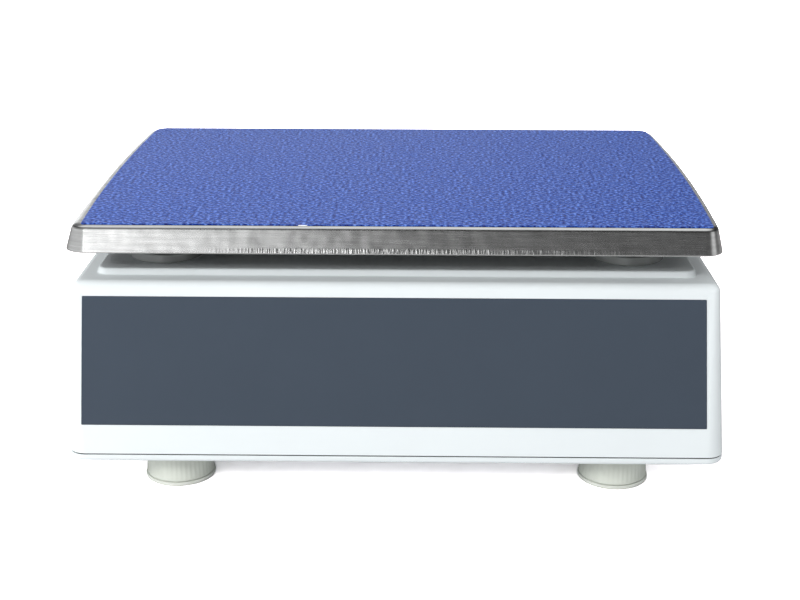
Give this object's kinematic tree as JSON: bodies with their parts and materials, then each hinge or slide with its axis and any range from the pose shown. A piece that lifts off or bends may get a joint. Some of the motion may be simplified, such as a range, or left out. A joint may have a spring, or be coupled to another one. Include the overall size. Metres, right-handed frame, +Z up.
{
  "type": "counting scale",
  "caption": "Bench counting scale with a lift-off steel pan under blue film, a white two-part housing, a sloped key and display console, a load cell and screw feet.",
  "frame": {"origin": "middle of the footprint on the bench, under the feet", "axes": "+Z up, -Y out of the plain rear face, +Y towards the operator, +X to the right as the rear face is looked at"},
  "size_m": [0.31, 0.32, 0.135],
  "materials": {
    "steel_sheet": "sheet stainless steel, brushed along the skirt",
    "blue_film": "blue protective film with a fine orange-peel emboss",
    "white_housing": "cool white moulded plastic, fine satin",
    "slate_label": "slate grey printed label, satin, bare",
    "console_overlay": "slate grey overlay, fine texture",
    "clear_window": "clear acrylic window",
    "lcd_glass": "grey-green liquid crystal glass",
    "circuit_board": "green circuit board",
    "number_keys": "pale grey moulded keys",
    "function_keys": "blue moulded keys",
    "cast_aluminium": "sand-cast and machined aluminium",
    "black_rubber": "black moulded rubber",
    "zinc_steel": "zinc-plated steel",
    "battery_case": "dark grey battery case",
    "transformer_core": "varnished laminated core",
    "level_clear": "clear vial with green liquid",
    "black_plastic": "black moulded plastic",
    "foot_plastic": "pale greenish grey ribbed plastic",
    "sole_rubber": "pale grey rubber sole"
  },
  "bodies": {
    "root": {"upper_housing": "white_housing", "lower_housing": "white_housing", "rear_panel": "slate_label", "console_panel": "console_overlay", "weight_window": "clear_window", "unit_weight_window": "clear_window", "count_window": "clear_window", "weight_lcd": "lcd_glass", "unit_weight_lcd": "lcd_glass", "count_lcd": "lcd_glass", "display_board": "circuit_board", "key_board": "circuit_board", "main_board": "circuit_board", "chassis_plate": "zinc_steel", "load_cell": "cast_aluminium", "cell_base_block": "zinc_steel", "overload_stop": "zinc_steel", "battery": "battery_case", "battery_strap": "zinc_steel", "mains_transformer": "transformer_core", "level_vial": "level_clear", "mains_inlet": "black_plastic", "rocker_frame": "black_plastic", "housing_screw_rear_left": "zinc_steel", "housing_screw_rear_right": "zinc_steel", "housing_screw_front_left": "zinc_steel", "housing_screw_front_right": "zinc_steel"},
    "spider": {"pan_spider": "cast_aluminium", "cell_top_block": "zinc_steel", "pan_cushion_rear_left": "black_rubber", "pan_cushion_rear_right": "black_rubber", "pan_cushion_front_left": "black_rubber", "pan_cushion_front_right": "black_rubber"},
    "pan": {"weighing_pan": "steel_sheet", "pan_film": "blue_film"},
    "rocker": {"power_rocker": "black_plastic"},
    "key_0": {"key_0": "number_keys"},
    "key_1": {"key_1": "number_keys"},
    "key_2": {"key_2": "number_keys"},
    "key_3": {"key_3": "number_keys"},
    "key_4": {"key_4": "number_keys"},
    "key_5": {"key_5": "number_keys"},
    "key_6": {"key_6": "number_keys"},
    "key_7": {"key_7": "number_keys"},
    "key_8": {"key_8": "number_keys"},
    "key_9": {"key_9": "number_keys"},
    "key_point": {"key_point": "number_keys"},
    "key_clear": {"key_clear": "number_keys"},
    "key_zero": {"key_zero": "function_keys"},
    "key_tare": {"key_tare": "function_keys"},
    "key_unit_weight": {"key_unit_weight": "function_keys"},
    "key_sample": {"key_sample": "function_keys"},
    "sole_rear_left": {"foot_sole_rear_left": "sole_rubber"},
    "foot_rear_left": {"foot_screw_rear_left": "foot_plastic"},
    "sole_rear_right": {"foot_sole_rear_right": "sole_rubber"},
    "foot_rear_right": {"foot_screw_rear_right": "foot_plastic"},
    "sole_front_left": {"foot_sole_front_left": "sole_rubber"},
    "foot_front_left": {"foot_screw_front_left": "foot_plastic"},
    "sole_front_right": {"foot_sole_front_right": "sole_rubber"},
    "foot_front_right": {"foot_screw_front_right": "foot_plastic"}
  },
  "joints": [
    {"name": "load_cell_flex", "type": "slide", "parent": "root", "child": "spider", "axis": [0, 0, 1], "range_m": [-0.00025, 0], "stiffness_N_per_m": 590000, "springref_m": 0.00002},
    {"name": "pan_lift", "type": "slide", "parent": "spider", "child": "pan", "axis": [0, 0, 1], "range_m": [0, 0.06]},
    {"name": "power_switch", "type": "hinge", "parent": "root", "child": "rocker", "pos_m": [-0.14812, 0.108, 0.06139], "axis": [0, 1, 0], "range_deg": [0, 18]},
    {"name": "press_0", "type": "slide", "parent": "root", "child": "key_0", "axis": [0, 0.4687, 0.8834], "range_m": [-0.0008, 0], "stiffness_N_per_m": 300, "springref_m": 0.001},
    {"name": "press_1", "type": "slide", "parent": "root", "child": "key_1", "axis": [0, 0.4687, 0.8834], "range_m": [-0.0008, 0], "stiffness_N_per_m": 300, "springref_m": 0.001},
    {"name": "press_2", "type": "slide", "parent": "root", "child": "key_2", "axis": [0, 0.4687, 0.8834], "range_m": [-0.0008, 0], "stiffness_N_per_m": 300, "springref_m": 0.001},
    {"name": "press_3", "type": "slide", "parent": "root", "child": "key_3", "axis": [0, 0.4687, 0.8834], "range_m": [-0.0008, 0], "stiffness_N_per_m": 300, "springref_m": 0.001},
    {"name": "press_4", "type": "slide", "parent": "root", "child": "key_4", "axis": [0, 0.4687, 0.8834], "range_m": [-0.0008, 0], "stiffness_N_per_m": 300, "springref_m": 0.001},
    {"name": "press_5", "type": "slide", "parent": "root", "child": "key_5", "axis": [0, 0.4687, 0.8834], "range_m": [-0.0008, 0], "stiffness_N_per_m": 300, "springref_m": 0.001},
    {"name": "press_6", "type": "slide", "parent": "root", "child": "key_6", "axis": [0, 0.4687, 0.8834], "range_m": [-0.0008, 0], "stiffness_N_per_m": 300, "springref_m": 0.001},
    {"name": "press_7", "type": "slide", "parent": "root", "child": "key_7", "axis": [0, 0.4687, 0.8834], "range_m": [-0.0008, 0], "stiffness_N_per_m": 300, "springref_m": 0.001},
    {"name": "press_8", "type": "slide", "parent": "root", "child": "key_8", "axis": [0, 0.4687, 0.8834], "range_m": [-0.0008, 0], "stiffness_N_per_m": 300, "springref_m": 0.001},
    {"name": "press_9", "type": "slide", "parent": "root", "child": "key_9", "axis": [0, 0.4687, 0.8834], "range_m": [-0.0008, 0], "stiffness_N_per_m": 300, "springref_m": 0.001},
    {"name": "press_point", "type": "slide", "parent": "root", "child": "key_point", "axis": [0, 0.4687, 0.8834], "range_m": [-0.0008, 0], "stiffness_N_per_m": 300, "springref_m": 0.001},
    {"name": "press_clear", "type": "slide", "parent": "root", "child": "key_clear", "axis": [0, 0.4687, 0.8834], "range_m": [-0.0008, 0], "stiffness_N_per_m": 300, "springref_m": 0.001},
    {"name": "press_zero", "type": "slide", "parent": "root", "child": "key_zero", "axis": [0, 0.4687, 0.8834], "range_m": [-0.0008, 0], "stiffness_N_per_m": 300, "springref_m": 0.001},
    {"name": "press_tare", "type": "slide", "parent": "root", "child": "key_tare", "axis": [0, 0.4687, 0.8834], "range_m": [-0.0008, 0], "stiffness_N_per_m": 300, "springref_m": 0.001},
    {"name": "press_unit_weight", "type": "slide", "parent": "root", "child": "key_unit_weight", "axis": [0, 0.4687, 0.8834], "range_m": [-0.0008, 0], "stiffness_N_per_m": 300, "springref_m": 0.001},
    {"name": "press_sample", "type": "slide", "parent": "root", "child": "key_sample", "axis": [0, 0.4687, 0.8834], "range_m": [-0.0008, 0], "stiffness_N_per_m": 300, "springref_m": 0.001},
    {"name": "foot_height_rear_left", "type": "slide", "parent": "root", "child": "sole_rear_left", "axis": [0, 0, 1], "range_m": [-0.005, 0.0015]},
    {"name": "foot_turn_rear_left", "type": "hinge", "parent": "sole_rear_left", "child": "foot_rear_left", "pos_m": [-0.10675, -0.13, 0.01], "axis": [0, 0, 1], "range_deg": [-1441, 433]},
    {"name": "foot_height_rear_right", "type": "slide", "parent": "root", "child": "sole_rear_right", "axis": [0, 0, 1], "range_m": [-0.005, 0.0015]},
    {"name": "foot_turn_rear_right", "type": "hinge", "parent": "sole_rear_right", "child": "foot_rear_right", "pos_m": [0.10675, -0.13, 0.01], "axis": [0, 0, 1], "range_deg": [-1441, 433]},
    {"name": "foot_height_front_left", "type": "slide", "parent": "root", "child": "sole_front_left", "axis": [0, 0, 1], "range_m": [-0.005, 0.0015]},
    {"name": "foot_turn_front_left", "type": "hinge", "parent": "sole_front_left", "child": "foot_front_left", "pos_m": [-0.10675, 0.13, 0.01], "axis": [0, 0, 1], "range_deg": [-1441, 433]},
    {"name": "foot_height_front_right", "type": "slide", "parent": "root", "child": "sole_front_right", "axis": [0, 0, 1], "range_m": [-0.005, 0.0015]},
    {"name": "foot_turn_front_right", "type": "hinge", "parent": "sole_front_right", "child": "foot_front_right", "pos_m": [0.10675, 0.13, 0.01], "axis": [0, 0, 1], "range_deg": [-1441, 433]}
  ],
  "couplings": [
    {"joint": "foot_turn_rear_left", "follows": "foot_height_rear_left", "rad_per_m": 5026.5},
    {"joint": "foot_turn_rear_right", "follows": "foot_height_rear_right", "rad_per_m": 5026.5},
    {"joint": "foot_turn_front_left", "follows": "foot_height_front_left", "rad_per_m": 5026.5},
    {"joint": "foot_turn_front_right", "follows": "foot_height_front_right", "rad_per_m": 5026.5}
  ]
}
